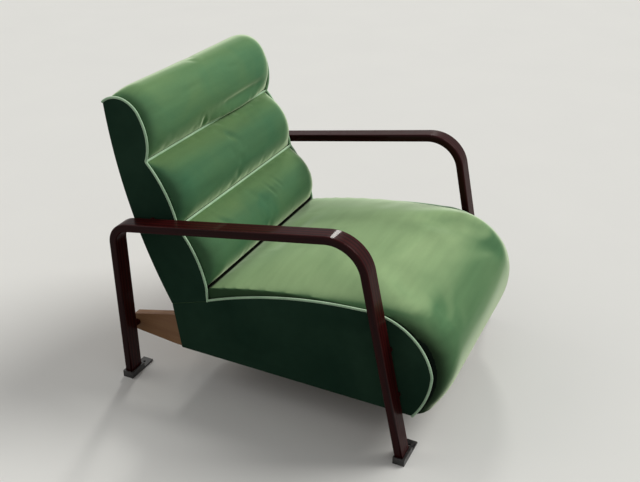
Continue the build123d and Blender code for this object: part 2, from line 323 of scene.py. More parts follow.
def makeVelvet(name, look):
    material, tree, shader, place = startMaterial(name)
    nap = placeGroup(tree, napGroup, (-600, 0), {
        "Shade": look["shade"], "Brushed": look["brushed"], "Top Lit": look["topLitTone"],
        "Top Light Share": look["topLightShare"], "Top Light Start": look["topLightStart"],
        "Patch Scale": look["patch"], "Pile Scale": look["pile"]})
    tree.links.new(place, nap.inputs["Vector"])
    # Painted sheen in the base colour: a lighter rim and a pale edge line where the cover turns away from
    # the view, for the tips of the pile catching light
    grazing = addNode(tree, "ShaderNodeLayerWeight", (-750, 400), {"Blend": 0.5})
    rim = turnedAway(tree, grazing, (-550, 400), look["rimSpan"], look["rimShare"])
    edge = turnedAway(tree, grazing, (-550, 650), look["edgeSpan"], look["edgeShare"])
    soft = addNode(tree, "ShaderNodeMix", (-400, 200), {"B": look["rim"]}, data_type="RGBA")
    lit = addNode(tree, "ShaderNodeMix", (-250, 200), {"B": look["edge"]}, data_type="RGBA")
    tree.links.new(rim, soft.inputs["Factor"])
    tree.links.new(nap.outputs["Color"], soft.inputs["A"])
    tree.links.new(edge, lit.inputs["Factor"])
    tree.links.new(soft.outputs["Result"], lit.inputs["A"])
    # Painted shade read from the sunk attribute: darker in the crease and beside the piping at the ends
    depth = addNode(tree, "ShaderNodeAttribute", (-750, 850), attribute_name="sunk")
    left = addNode(tree, "ShaderNodeMapRange", (-550, 850), {"To Min": 1.0, "To Max": 1.0 - look["sunk"]})
    dimmed = addNode(tree, "ShaderNodeVectorMath", (-100, 300), operation="SCALE")
    tree.links.new(depth.outputs["Fac"], left.inputs["Value"])
    tree.links.new(lit.outputs["Result"], dimmed.inputs[0])
    tree.links.new(left.outputs["Result"], dimmed.inputs["Scale"])
    tree.links.new(dimmed.outputs["Vector"], shader.inputs["Base Color"])
    tree.links.new(nap.outputs["Roughness"], shader.inputs["Roughness"])
    shader.inputs["Specular IOR Level"].default_value = look["specular"]
    shader.inputs["Sheen Weight"].default_value = look["sheen"]
    shader.inputs["Sheen Roughness"].default_value = look["sheenRough"]
    shader.inputs["Sheen Tint"].default_value = look["sheenTint"]
    addBump(tree, shader, nap.outputs["Height"], look["bump"], look["bumpDepth"])
    return material


lacquerLook = {
    "early": (0.044, 0.0055, 0.0055, 1), "late": (0.011, 0.0018, 0.0022, 1), "fibre": 420.0, "figure": 30.0,
    "smears": 22.0, "clean": 0.30, "rubbed": 0.46, "specular": 0.02, "specularTint": (1.0, 0.34, 0.32, 1),
    "coat": 0.14, "coatRough": 0.05, "bump": 0.05, "bumpDepth": 0.0003}


def makeLacquer(name, vectorFrom):
    look = lacquerLook
    material, tree, shader, place = startMaterial(name, vectorFrom)
    grain = placeGrain(tree, place, look)
    placeWear(tree, shader, place, look)
    tree.links.new(grain.outputs["Color"], shader.inputs["Base Color"])
    shader.inputs["Specular IOR Level"].default_value = look["specular"]
    shader.inputs["Specular Tint"].default_value = look["specularTint"]
    shader.inputs["Coat Weight"].default_value = look["coat"]
    shader.inputs["Coat Roughness"].default_value = look["coatRough"]
    addBump(tree, shader, grain.outputs["Height"], look["bump"], look["bumpDepth"])
    return material


beechLook = {"early": (0.300, 0.155, 0.068, 1), "late": (0.185, 0.083, 0.033, 1), "fibre": 260.0,
             "figure": 18.0, "smears": 9.0, "clean": 0.55, "rubbed": 0.75, "soil": (0.60, 0.55, 0.50),
             "soilShare": 0.35, "bump": 0.3, "bumpDepth": 0.0005}
veneerLook = dict(beechLook, early=(0.20, 0.085, 0.040, 1), late=(0.11, 0.042, 0.020, 1), fibre=200.0,
                  figure=9.0, clean=0.3, rubbed=0.5)


def makeWood(name, look, turn):
    material, tree, shader, place = startMaterial(name, "Object", turn)
    grain = placeGrain(tree, place, look)
    wear = placeWear(tree, shader, place, look)
    soiled = [tone * kept for tone, kept in zip(look["early"], look["soil"])] + [1]
    dirt = addNode(tree, "ShaderNodeMix", (-400, 100), {"B": soiled}, data_type="RGBA")
    share = addNode(tree, "ShaderNodeMath", (-550, -100), {1: look["soilShare"]}, operation="MULTIPLY")
    tree.links.new(wear.outputs["Mask"], share.inputs[0])
    tree.links.new(share.outputs["Value"], dirt.inputs["Factor"])
    tree.links.new(grain.outputs["Color"], dirt.inputs["A"])
    tree.links.new(dirt.outputs["Result"], shader.inputs["Base Color"])
    addBump(tree, shader, grain.outputs["Height"], look["bump"], look["bumpDepth"])
    return material


blackMetalLook = {"paint": (0.018, 0.018, 0.020, 1), "rubbedPaint": (0.05, 0.045, 0.04, 1), "smears": 60.0,
                  "clean": 0.32, "rubbed": 0.6, "speckle": 500.0, "bump": 0.15, "bumpDepth": 0.0003}


def makeBlackMetal(name):
    look = blackMetalLook
    material, tree, shader, place = startMaterial(name)
    wear = placeWear(tree, shader, place, look)
    paint = addNode(tree, "ShaderNodeMix", (-400, 0), {"A": look["paint"], "B": look["rubbedPaint"]},
                    data_type="RGBA")
    speckle = addNode(tree, "ShaderNodeTexNoise", (-700, -350), {"Scale": look["speckle"], "Detail": 2.0})
    tree.links.new(place, speckle.inputs["Vector"])
    tree.links.new(wear.outputs["Mask"], paint.inputs["Factor"])
    tree.links.new(paint.outputs["Result"], shader.inputs["Base Color"])
    addBump(tree, shader, speckle.outputs["Fac"], look["bump"], look["bumpDepth"])
    return material


hessianLook = {"yarn": (0.36, 0.25, 0.14, 1), "gap": (0.10, 0.065, 0.035, 1), "yarnScale": 66.879,
               "wander": 0.6, "rough": 0.9, "bump": 0.5, "bumpDepth": 0.0008}


def makeHessian(name):
    # Plain weave: two crossed sets of yarns, seen on the underside alone
    look = hessianLook
    material, tree, shader, place = startMaterial(name)
    heights = []
    for turn, y in ((0.0, 200), (quarter, -100)):
        turned = addNode(tree, "ShaderNodeMapping", (-850, y), {"Rotation": (0, 0, turn)})
        yarn = addNode(tree, "ShaderNodeTexWave", (-650, y), {
            "Scale": look["yarnScale"], "Distortion": look["wander"], "Detail": 1.0},
            wave_type="BANDS", bands_direction="X")
        tree.links.new(place, turned.inputs["Vector"])
        tree.links.new(turned.outputs["Vector"], yarn.inputs["Vector"])
        heights.append(yarn.outputs["Fac"])
    over = addNode(tree, "ShaderNodeMath", (-450, 50), operation="MAXIMUM")
    cloth = addNode(tree, "ShaderNodeMix", (-250, 100), {"A": look["gap"], "B": look["yarn"]},
                    data_type="RGBA")
    tree.links.new(heights[0], over.inputs[0])
    tree.links.new(heights[1], over.inputs[1])
    tree.links.new(over.outputs["Value"], cloth.inputs["Factor"])
    tree.links.new(cloth.outputs["Result"], shader.inputs["Base Color"])
    shader.inputs["Roughness"].default_value = look["rough"]
    addBump(tree, shader, over.outputs["Value"], look["bump"], look["bumpDepth"])
    return material


velvet = makeVelvet("greenVelvet", velvetLook)
litTopVelvet = makeVelvet("litTopVelvet", litTopVelvetLook)
litSeatVelvet = makeVelvet("litSeatVelvet", litSeatVelvetLook)
shadedSideVelvet = makeVelvet("shadedSideVelvet", shadedSideVelvetLook)
piping = makeVelvet("mintPiping", pipingLook)
paintedShadeVelvet = makeVelvet("paintedShadeVelvet", paintedShadeVelvetLook)
lacquerBent = makeLacquer("lacquerBent", "grainPlace")
lacquerTurned = makeLacquer("lacquerTurned", "Object")
beech = makeWood("beechAlong", beechLook, (0, 0, 0))
beechRail = makeWood("beechRail", beechLook, (0, 0, quarter))
beechPost = makeWood("beechPost", beechLook, (0, quarter, 0))
veneer = makeWood("stainedVeneer", veneerLook, (quarter, 0, quarter))
blackMetal = makeBlackMetal("blackMetal")
hessian = makeHessian("hessian")
print("materials ready")


# Mesh helpers

def mergedCopy(node):
    # The frame's meshes are loose triangles, so a copy is welded before it is worked on
    bm = bmesh.new()
    bm.from_mesh(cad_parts[node].data)
    bmesh.ops.remove_doubles(bm, verts=bm.verts, dist=0.00001)
    bmesh.ops.dissolve_limit(bm, angle_limit=math.radians(0.5), verts=bm.verts, edges=bm.edges)
    bmesh.ops.recalc_face_normals(bm, faces=bm.faces)
    return bm


def finishPiece(bm, name, material, smooth=True):
    mesh = bpy.data.meshes.new(name)
    for face in bm.faces:
        face.smooth = smooth
    bm.to_mesh(mesh)
    bm.free()
    mesh.materials.append(material)
    piece = bpy.data.objects.new(name, mesh)
    scene.collection.objects.link(piece)
    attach(piece, "root")
    return piece


def keepFlats(piece, weight=50):
    flats = piece.modifiers.new("keepFlats", "WEIGHTED_NORMAL")
    flats.weight = weight
    flats.keep_sharp = True


def sharpEdges(bm, degrees):
    limit = math.radians(degrees)
    return [e for e in bm.edges if len(e.link_faces) == 2 and e.calc_face_angle(0) > limit]


def easedCopy(node, name, material, ease, segments=2, sharp=30):
    # The node's own shape with its edges eased
    bm = mergedCopy(node)
    bmesh.ops.bevel(bm, geom=sharpEdges(bm, sharp), offset=ease, offset_type="OFFSET", segments=segments,
                    profile=0.5, affect="EDGES", clamp_overlap=True, material=-1)
    piece = finishPiece(bm, name, material)
    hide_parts(node)
    keepFlats(piece)
    return piece


# Bentwood strips

bentStrip = {"rearDepth": 0.035, "cornerDepth": 0.673, "cornerHeight": 0.546, "rise": math.radians(9.7),
             "rake": math.radians(12.0), "rearBend": 0.050, "frontBend": 0.084, "thickness": 0.020,
             "edge": 0.0042, "edgeSteps": 4, "bendSteps": 18, "foot": 0.0055, "runPast": 0.03}


def stripStations(look):
    # Centre line as ((depth, height), heading, run) at each cut; heading is the angle from straight up
    lift = (look["cornerDepth"] - look["rearDepth"]) * math.tan(look["rise"])
    spread = (look["cornerHeight"] + look["runPast"]) * math.tan(look["rake"])
    rearCorner = Vector((look["rearDepth"], look["cornerHeight"] - lift))
    frontCorner = Vector((look["cornerDepth"], look["cornerHeight"]))
    foot = Vector((look["cornerDepth"] + spread, -look["runPast"]))
    start = Vector((look["rearDepth"], look["foot"]))
    bends = ((rearCorner, frontCorner, look["rearBend"]), (frontCorner, foot, look["frontBend"]))
    stations = [(start, 0.0)]
    heading = 0.0
    for corner, after, radius in bends:
        into = Vector((math.sin(heading), math.cos(heading)))
        out = (after - corner).normalized()
        nextHeading = math.atan2(out.x, out.y)
        turn = nextHeading - heading
        reach = radius * math.tan(turn / 2)
        begin = corner - into * reach
        centre = begin + Vector((into.y, -into.x)) * radius
        for step in range(look["bendSteps"] + 1):
            angle = heading + turn * step / look["bendSteps"]
            stations.append((centre - Vector((math.cos(angle), -math.sin(angle))) * radius, angle))
        heading = nextHeading
    stations.append((foot, heading))
    run, placed = 0.0, []
    for index, (point, angle) in enumerate(stations):
        if index:
            run += (point - stations[index - 1][0]).length
        placed.append((point, angle, run))
    return placed


def makeStrip(node):
    look = bentStrip
    low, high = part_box(node)
    centreX = (low.x + high.x) / 2
    bm = bmesh.new()
    place = bm.verts.layers.float_vector.new("grainPlace")
    bmesh.ops.create_grid(bm, x_segments=1, y_segments=1, size=0.5)
    bmesh.ops.scale(bm, vec=(high.x - low.x, look["thickness"], 1), verts=bm.verts)
    bmesh.ops.bevel(bm, geom=bm.verts[:], offset=look["edge"], segments=look["edgeSteps"], profile=0.5,
                    affect="VERTICES", material=-1)
    face = bm.faces[:][0]
    shape = [v.co.copy() for v in face.verts]
    current = list(face.verts)
    for index, (point, angle, run) in enumerate(stripStations(look)):
        if index:
            made = bmesh.ops.extrude_face_region(bm, geom=[face])["geom"]
            face = next(g for g in made if isinstance(g, bmesh.types.BMFace))
            current = list(face.verts)
        turn = Matrix.Rotation(angle, 3, "X")
        origin = sidePoint(centreX, point.x, point.y)
        for vert, flat in zip(current, shape):
            # Across the strip the section's Y points to the rear when the strip runs straight up
            vert.co = origin + turn @ Vector((flat.x, flat.y, 0))
            vert[place] = (run, flat.x, flat.y)
    bmesh.ops.bisect_plane(bm, geom=bm.verts[:] + bm.edges[:] + bm.faces[:], plane_co=(0, 0, look["foot"]),
                           plane_no=(0, 0, -1), clear_outer=True)
    bmesh.ops.holes_fill(bm, edges=[e for e in bm.edges if e.is_boundary])
    bmesh.ops.recalc_face_normals(bm, faces=bm.faces)
    piece = finishPiece(bm, node + ".strip", lacquerBent)
    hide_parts(node)
    keepFlats(piece)
    return piece


strips = [makeStrip("arm_" + hand) for hand in ("right", "left")]
print("bentwood strips", [len(s.data.polygons) for s in strips])


# Soft pieces

def boardOutline(node):
    # Points round the board's outer face, in the side plane, with the turn at each
    bm = mergedCopy(node)
    face = max(bm.faces, key=lambda f: (round(f.calc_area(), 3), abs(f.calc_center_median().x)))
    points = [sideOf(v.co) for v in face.verts]
    bm.free()
    area = sum(a.x * b.y - b.x * a.y for a, b in zip(points, points[1:] + points[:1]))
    if area < 0:
        points.reverse()
    turns = []
    for index, point in enumerate(points):
        before, after = points[index - 1], points[(index + 1) % len(points)]
        turns.append(-math.degrees((point - before).angle_signed(after - point)))
    return points, turns


notchTurn = -15
backOutline, backTurns = boardOutline("back_end_board_right")
seatOutline, _ = boardOutline("seat_end_board_right")
notches = sorted((p for p, t in zip(backOutline, backTurns) if t < notchTurn), key=lambda p: -p.y)
upperSeam, lowerSeam = [tuple(p) for p in notches]
creaseLine, creaseSlope = (0.262, 0.300), (-0.818, -0.575)


def outsideOutline(points, outline, margin):
    # For each (depth, height): True where it lies outside the outline by more than the margin
    corners = np.array([tuple(p) for p in outline])
    after = np.roll(corners, -1, axis=0)
    crossings = np.zeros(len(points), int)
    nearest = np.full(len(points), 1e9)
    for (ax, ay), (bx, by) in zip(corners, after):
        spans = (ay > points[:, 1]) != (by > points[:, 1])
        if abs(by - ay) > 1e-12:
            crossings += spans & (points[:, 0] < (bx - ax) * (points[:, 1] - ay) / (by - ay) + ax)
        edge = np.array([bx - ax, by - ay])
        along = np.clip(((points - (ax, ay)) @ edge) / max(edge @ edge, 1e-12), 0, 1)
        nearest = np.minimum(nearest, np.linalg.norm(points - (ax, ay) - along[:, None] * edge, axis=1))
    return (crossings % 2 == 0) & (nearest > margin)


def verticesOf(mesh):
    flat = np.empty(len(mesh.vertices) * 3, np.float32)
    mesh.vertices.foreach_get("co", flat)
    return flat.reshape(-1, 3).astype(float)


def setVertices(mesh, points):
    mesh.vertices.foreach_set("co", points.astype(np.float32).ravel())
    mesh.update()


def normalsOf(mesh):
    flat = np.empty(len(mesh.vertices) * 3, np.float32)
    mesh.vertices.foreach_get("normal", flat)
    return flat.reshape(-1, 3).astype(float)


def evaluatedMesh(piece):
    graph = bpy.context.evaluated_depsgraph_get()
    graph.update()
    return bpy.data.meshes.new_from_object(piece.evaluated_get(graph))


def voxelSkin(node, look):
    # Even quads over the node's solid
    bm = mergedCopy(node)
    rough = bpy.data.meshes.new(node + ".rough")
    bm.to_mesh(rough)
    bm.free()
    soft = bpy.data.objects.new(node + ".soft", rough)
    scene.collection.objects.link(soft)
    remesh = soft.modifiers.new("voxels", "REMESH")
    remesh.mode = "VOXEL"
    remesh.voxel_size = look["voxel"]
    skin = evaluatedMesh(soft)
    soft.modifiers.remove(remesh)
    soft.data = skin
    bpy.data.meshes.remove(rough)
    return soft


def heldWeights(points, look):
    # 1 where the cover is sewn or stapled down, 0 where it is free to swell
    side = np.stack([rearLine - points[:, 1], points[:, 2]], axis=1)
    free = outsideOutline(side, look["outline"], look["margin"])
    reach = np.abs(points[:, 0])
    free &= reach < look["halfWidth"] - look["endHold"]
    free &= points[:, 2] > look["lowest"]
    for depth, height in look["sewn"]:
        free &= np.hypot(side[:, 0] - depth, side[:, 1] - height) > look["sewnHold"]
    return np.where(free, 0.0, 1.0)


def roundEnds(mesh, look):
    # The solid draws in to its end boards on a straight slope; here the sections follow a quarter ellipse
    points = verticesOf(mesh)
    fromEnd = np.clip(look["halfWidth"] - np.abs(points[:, 0]), 0, None)
    share = fromEnd / look["endLength"]
    sloped = share < 1
    stretch = (look["halfWidth"] - look["roundedOver"]) / (look["halfWidth"] - look["endLength"])
    moved = look["roundedOver"] + (fromEnd - look["endLength"]) * stretch
    moved[sloped] = look["roundedOver"] * (1 - np.sqrt(1 - share[sloped] ** 2))
    points[:, 0] = np.sign(points[:, 0]) * (look["halfWidth"] - moved)
    setVertices(mesh, points)


def relaxFree(mesh, held, rounds):
    bm = bmesh.new()
    bm.from_mesh(mesh)
    loose = [v for v, h in zip(bm.verts, held) if h < 0.5]
    for _ in range(rounds):
        bmesh.ops.smooth_vert(bm, verts=loose, factor=0.5, use_axis_x=True, use_axis_y=True, use_axis_z=True)
    bm.to_mesh(mesh)
    bm.free()


def fillWithAir(soft, held, look):
    group = soft.vertex_groups.new(name="held")
    group.add([i for i, h in enumerate(held) if h > 0.5], 1.0, "REPLACE")
    cloth = soft.modifiers.new("filling", "CLOTH")
    settings = cloth.settings
    settings.quality = look["quality"]
    settings.mass = look["mass"]
    settings.use_pressure = True
    settings.uniform_pressure_force = look["pressure"]
    settings.vertex_group_mass = "held"
    settings.shrink_min = -look["growth"]
    settings.bending_stiffness = look["bending"]
    settings.tension_stiffness = settings.compression_stiffness = look["stretch"]
    settings.shear_stiffness = look["stretch"] / 2
    settings.effector_weights.gravity = 0
    cloth.collision_settings.use_collision = False
    cloth.point_cache.frame_start, cloth.point_cache.frame_end = 1, look["frames"]
    start = verticesOf(soft.data)
    for frameNumber in range(1, look["frames"] + 1):
        scene.frame_set(frameNumber)
    filled = evaluatedMesh(soft)
    moved = verticesOf(filled) - start
    bpy.data.meshes.remove(filled)
    soft.modifiers.remove(cloth)
    scene.frame_set(1)
    length = np.linalg.norm(moved, axis=1)
    mean, most = float(length.mean() * 1000), float(length.max() * 1000)
    print("  moved", soft.name, "mean", round(mean, 1), "most", round(most, 1), "mm")
    moved *= np.minimum(1.0, look["cap"] / np.maximum(length, 1e-9))[:, None]
    setVertices(soft.data, start + moved)


def nearCrease(points, reach, under):
    # 1 on the line where seat and back meet, and with under on the face between them too, 0 further off
    offset = np.stack([rearLine - points[:, 1] - creaseLine[0], points[:, 2] - creaseLine[1]], axis=1)
    if under:
        offset -= np.clip(offset @ np.array(creaseSlope), 0, None)[:, None] * np.array(creaseSlope)
    return np.exp(-(np.linalg.norm(offset, axis=1) / reach) ** 2)


# Where the painted shade falls: steep faces near the ends, wider on the seat's nose, and along the crease
paintedShadeLook = {"levelFrom": 0.30, "levelOver": 0.62, "noseFrom": 0.52, "noseOver": 0.20, "rearShare": 0.7,
            "noseShare": 0.3, "creaseReach": 0.0046, "creaseGain": 1.8, "darkestShade": 0.9}


def markPaintedShade(mesh, look):
    # Painted shade, stored as the sunk attribute: in the crease, and beside the piping where the cover is
    # drawn in
    points = verticesOf(mesh)
    fromEnd = np.clip(look["halfWidth"] - np.abs(points[:, 0]), 0, None)
    level = np.clip((normalsOf(mesh)[:, 2] - paintedShadeLook["levelFrom"]) / paintedShadeLook["levelOver"], 0, 1)
    nose = np.clip((rearLine - points[:, 1] - paintedShadeLook["noseFrom"]) / paintedShadeLook["noseOver"], 0, 1)
    reach = look["endShadeReach"] + look["noseShadeReach"] * nose
    share = look["endShade"] * (paintedShadeLook["rearShare"] + paintedShadeLook["noseShare"] * nose)
    ends = share * np.exp(-(fromEnd / reach) ** 2) * (1 - level)
    crease = np.clip(paintedShadeLook["creaseGain"] * nearCrease(points, paintedShadeLook["creaseReach"], True), 0, 1)
    depth = np.maximum(ends, look["creaseShade"] * crease)
    sunk = mesh.attributes.new("sunk", "FLOAT", "POINT")
    sunk.data.foreach_set("value", depth.astype(np.float32))
    return depth


foldShape = {"facing": 0.1, "lip": 0.35, "lipAt": 2.0, "taper": 0.6, "tip": 0.02}
gatherShape = {"along": 50.0, "away": 12.0, "seam": 50.0, "finer": 2.1, "finerShare": 0.5, "stop": 3.0}


def foldPush(flat, facing, fold):
    # A groove with a low lip beside it, tapered to its two ends, and how strong the fold is at each point
    start, stop = np.array(fold["ends"][0]), np.array(fold["ends"][1])
    run = stop - start
    along = ((flat - start) @ run) / (run @ run)
    off = np.linalg.norm(flat - start - np.clip(along, 0, 1)[:, None] * run, axis=1) / fold["width"]
    taper = np.sin(np.pi * np.clip(along, foldShape["tip"], 1 - foldShape["tip"])) ** foldShape["taper"]
    shape = np.exp(-off ** 2) * taper * facing
    lip = foldShape["lip"] * np.exp(-(off - foldShape["lipAt"]) ** 2) * taper * facing
    return fold["depth"] * (shape - lip), shape


def gatherPush(points, side, look, seam):
    # Fine uneven puckers that run out from a seam
    push = np.zeros(len(points))
    away = np.hypot(side[:, 0] - seam[0], side[:, 1] - seam[1])
    for index in np.where(away < gatherShape["stop"] * look["gatherReach"])[0]:
        where = Vector((points[index, 0] * gatherShape["along"], away[index] * gatherShape["away"],
                        seam[1] * gatherShape["seam"]))
        pucker = noise.noise(where) + gatherShape["finerShare"] * noise.noise(where * gatherShape["finer"])
        share = away[index] / look["gatherReach"]
        push[index] = look["gather"] * pucker * share * math.exp(1 - share)
    return push


def shapeByHand(mesh, held, look):
    # Folds are lines of (x, height) on a roll and (x, depth) on the seat, each with a width and a push
    points = verticesOf(mesh)
    normals = normalsOf(mesh)
    side = np.stack([rearLine - points[:, 1], points[:, 2]], axis=1)
    seen = normals[:, 2] if look["foldAxis"] == 0 else -normals[:, 1]
    flat = np.stack([points[:, 0], side[:, look["foldAxis"]]], axis=1)
    push = np.zeros(len(points))
    drop = np.zeros(len(points))
    for fold in look["folds"]:
        pressed, shape = foldPush(flat, seen > foldShape["facing"], fold)
        push += pressed
        drop += fold.get("drop", 0.0) * shape
    for seam in look["sewn"]:
        push += gatherPush(points, side, look, seam)
    free = held < 0.5
    points[free] -= normals[free] * push[free, None]
    points -= normals * (look["crease"] * nearCrease(points, look["creaseReach"], False))[:, None]
    points[free, 2] -= drop[free]
    setVertices(mesh, points)


def makeCushion(node, look):
    began = time.time()
    soft = voxelSkin(node, look)
    mesh = soft.data
    points = verticesOf(mesh)
    held = heldWeights(points, look)
    roundEnds(mesh, look)
    relaxFree(mesh, held, look["relax"])
    setVertices(mesh, verticesOf(mesh) - normalsOf(mesh) * look["drawIn"])
    fillWithAir(soft, held, look)
    relaxFree(mesh, held, look["settle"])
    shapeByHand(mesh, held, look)
    finer = soft.modifiers.new("finer", "SUBSURF")
    finer.levels = finer.render_levels = 1
    coarse = soft.data
    soft.data = evaluatedMesh(soft)
    soft.modifiers.remove(finer)
    soft.vertex_groups.clear()
    bpy.data.meshes.remove(coarse)
    soft.name = node + ".cushion"
    soft.data.materials.clear()
    for material in (look["cover"], hessian, paintedShadeVelvet):
        soft.data.materials.append(material)
    soft.data.polygons.foreach_set("use_smooth", [True] * len(soft.data.polygons))
    # Hessian below, and a dark velvet without sheen where the painted shade is darkest
    depth = markPaintedShade(soft.data, look)
    for face in soft.data.polygons:
        if face.normal.z < -0.9 and face.center.z < look["lowest"]:
            face.material_index = 1
        elif min(depth[corner] for corner in face.vertices) > paintedShadeLook["darkestShade"]:
            face.material_index = 2
    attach(soft, "root")
    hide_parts(node)
    print("cushion", node, len(soft.data.polygons), "faces in", round(time.time() - began, 1), "s")
    return soft


topFolds = [
    {"ends": ((-0.03, 0.618), (0.25, 0.616)), "width": 0.013, "depth": -0.006, "drop": 0.008},
    {"ends": ((-0.06, 0.640), (-0.045, 0.607)), "width": 0.006, "depth": 0.0025},
    {"ends": ((0.02, 0.642), (0.24, 0.648)), "width": 0.010, "depth": 0.0025},
    {"ends": ((-0.14, 0.722), (-0.05, 0.728)), "width": 0.005, "depth": 0.0012},
    {"ends": ((0.06, 0.728), (0.13, 0.722)), "width": 0.005, "depth": 0.0010},
]
middleFolds = [
    {"ends": ((-0.22, 0.500), (-0.12, 0.512)), "width": 0.012, "depth": 0.0015},
    {"ends": ((-0.02, 0.585), (0.02, 0.560)), "width": 0.007, "depth": 0.0018},
]
lowerFolds = [
    {"ends": ((-0.185, 0.432), (-0.150, 0.408)), "width": 0.006, "depth": 0.0030},
    {"ends": ((0.045, 0.432), (0.060, 0.402)), "width": 0.005, "depth": 0.0025},
    {"ends": ((0.090, 0.432), (0.100, 0.410)), "width": 0.005, "depth": 0.0018},
]
seatFolds = [
    {"ends": ((-0.10, 0.330), (0.14, 0.340)), "width": 0.020, "depth": 0.0020},
    {"ends": ((-0.25, 0.480), (-0.16, 0.500)), "width": 0.012, "depth": 0.0014},
]
rollCommon = {
    "voxel": 0.006, "drawIn": 0.001, "relax": 5, "settle": 5, "outline": backOutline, "margin": 0.002,
    "halfWidth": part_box("back_roll_middle")[1].x, "endLength": 0.028, "roundedOver": 0.040, "lowest": 0.0,
    "endHold": 0.004, "sewnHold": 0.006,
    "frames": 20, "quality": 6, "mass": 0.3, "pressure": 7.0, "growth": 0.003, "cap": 0.016,
    "bending": 8.0, "stretch": 8.0,
    "foldAxis": 1, "folds": [], "gather": 0.0004, "gatherReach": 0.011, "crease": 0.0, "creaseReach": 0.013,
    "creaseShade": 0.0, "endShade": 0.40, "endShadeReach": 0.012, "noseShadeReach": 0.0,
    "cover": velvet, "fill": 0.8}
softLooks = {
    "back_roll_top": dict(rollCommon, sewn=[upperSeam], folds=topFolds, cover=litTopVelvet),
    "back_roll_middle": dict(rollCommon, sewn=[upperSeam, lowerSeam], folds=middleFolds),
    "back_roll_lower": dict(rollCommon, sewn=[lowerSeam, creaseLine], folds=lowerFolds, crease=0.002,
                            creaseShade=1.0),
    "seat_pad": dict(rollCommon, voxel=0.0075, relax=8, settle=20, outline=seatOutline, sewn=[creaseLine],
                     endLength=0.040, roundedOver=0.052, lowest=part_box("seat_pad")[0].z + 0.006,
                     pressure=2.4, growth=0.0, bending=24.0, cap=0.012, foldAxis=0, folds=seatFolds,
                     crease=0.002, creaseShade=1.0, endShade=0.93, endShadeReach=0.022, noseShadeReach=0.010,
                     cover=litSeatVelvet, fill=0.7),
}
for softNode, softLook in softLooks.items():
    makeCushion(softNode, softLook)


# Velvet covered end boards, their flat faces in a much darker copy as painted shade

boardCover = {"ease": 0.0018, "segments": 3, "sideFrom": 0.7}
for hand in ("right", "left"):
    for board in ("back_end_board_", "seat_end_board_"):
        cover = easedCopy(board + hand, board + hand + ".cover", shadedSideVelvet, boardCover["ease"],
                          boardCover["segments"])
        cover.data.materials.append(velvet)  # on the narrow edges
        for face in cover.data.polygons:
            face.material_index = int(abs(face.normal.x) < boardCover["sideFrom"])
print("end boards covered")


# Piping

pipingShape = {"radius": 0.0030, "outward": 0.0022, "inFromEdge": 0.0012, "seamRadius": 0.0031,
               "upperProud": 0.0012, "lowerProud": 0.0030,
               "backRun": ((0.2556, 0.262), (0.011, 0.727)), "seatRun": ((0.792, 0.100), (0.262, 0.262))}


def nearest(points, spot):
    return min(range(len(points)), key=lambda i: math.hypot(points[i].x - spot[0], points[i].y - spot[1]))


def between(outline, run):
    # The outline's points from the first corner of the run to the second, going round
    first = nearest(outline, run[0])
    ordered = outline[first:] + outline[:first]
    return ordered[:nearest(ordered, run[1]) + 1]


def offsetOutward(points, distance):
    moved = []
    for index, point in enumerate(points):
        before = points[max(index - 1, 0)]
        after = points[min(index + 1, len(points) - 1)]
        along = (after - before).normalized()
        moved.append(point + Vector((along.y, -along.x)) * distance)
    return moved


def makeTube(name, points, radius, material):
    curve = bpy.data.curves.new(name, "CURVE")
    curve.dimensions = "3D"
    curve.bevel_depth = radius
    curve.bevel_resolution = 3
    curve.use_fill_caps = True
    spline = curve.splines.new("NURBS")
    spline.points.add(len(points) - 1)
    for target, point in zip(spline.points, points):
        target.co = (*point, 1)
    spline.order_u = 3
    spline.use_endpoint_u = True
    spline.resolution_u = 4
    curve.materials.append(material)
    tube = bpy.data.objects.new(name, curve)
    scene.collection.objects.link(tube)
    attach(tube, "root")
    return tube


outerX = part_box("back_end_board_left")[1].x - pipingShape["inFromEdge"]
backEdge = between(backOutline, pipingShape["backRun"])
seatEdge = between(seatOutline, pipingShape["seatRun"])
for hand, sign in (("right", -1), ("left", 1)):
    for name, edge in (("back_piping_", backEdge), ("seat_piping_", seatEdge)):
        path = [sidePoint(sign * outerX, p.x, p.y) for p in offsetOutward(edge, pipingShape["outward"])]
        makeTube(name + hand, path, pipingShape["radius"], piping)
for place, (depth, height) in (("upper", upperSeam), ("lower", lowerSeam)):
    proud = depth + pipingShape[place + "Proud"]
    path = [sidePoint(outerX * share, proud, height) for share in (-1, -0.5, 0, 0.5, 1)]
    makeTube("seam_piping_" + place, path, pipingShape["seamRadius"], piping)
print("piping laid")


# Frame below and behind

easing = {"planed": 0.0015, "veneered": 0.0008, "cast": 0.0012, "turned": 0.001}
hands = ("right", "left")
frameWood = [("seat_front_rail", beech), ("seat_rear_rail", beech)]
frameWood += [("seat_slat_%d" % number, beech) for number in range(1, 7)]
frameWood += [("back_%s_rail" % place, beech) for place in ("lower", "middle", "top")]
frameWood += [("seat_side_rail_" + hand, beechRail) for hand in hands]
frameWood += [("back_post_" + hand, beechPost) for hand in hands]
for node, material in frameWood:
    easedCopy(node, node + ".planed", material, easing["planed"])
easedCopy("back_panel", "back_panel.veneered", veneer, easing["veneered"], 1)
for node in ["shoe_%s_%s" % (place, hand) for place in ("front", "rear") for hand in hands]:
    easedCopy(node, node + ".cast", blackMetal, easing["cast"])
for spacer in ("arm_spacer_", "leg_spacer_lower_", "leg_spacer_upper_", "tail_spacer_"):
    for hand in hands:
        node = spacer + hand
        easedCopy(node, node + ".turned", lacquerTurned, easing["turned"])
print("frame pieces eased")


panelScrews = {"head": 0.0042, "crown": 0.62, "rise": 0.0016, "slot": 0.0009, "slotDepth": 0.0008,
               "sides": 20, "fromEdge": 0.014, "acrossCount": 5, "upCount": 5, "turn": 1.9}


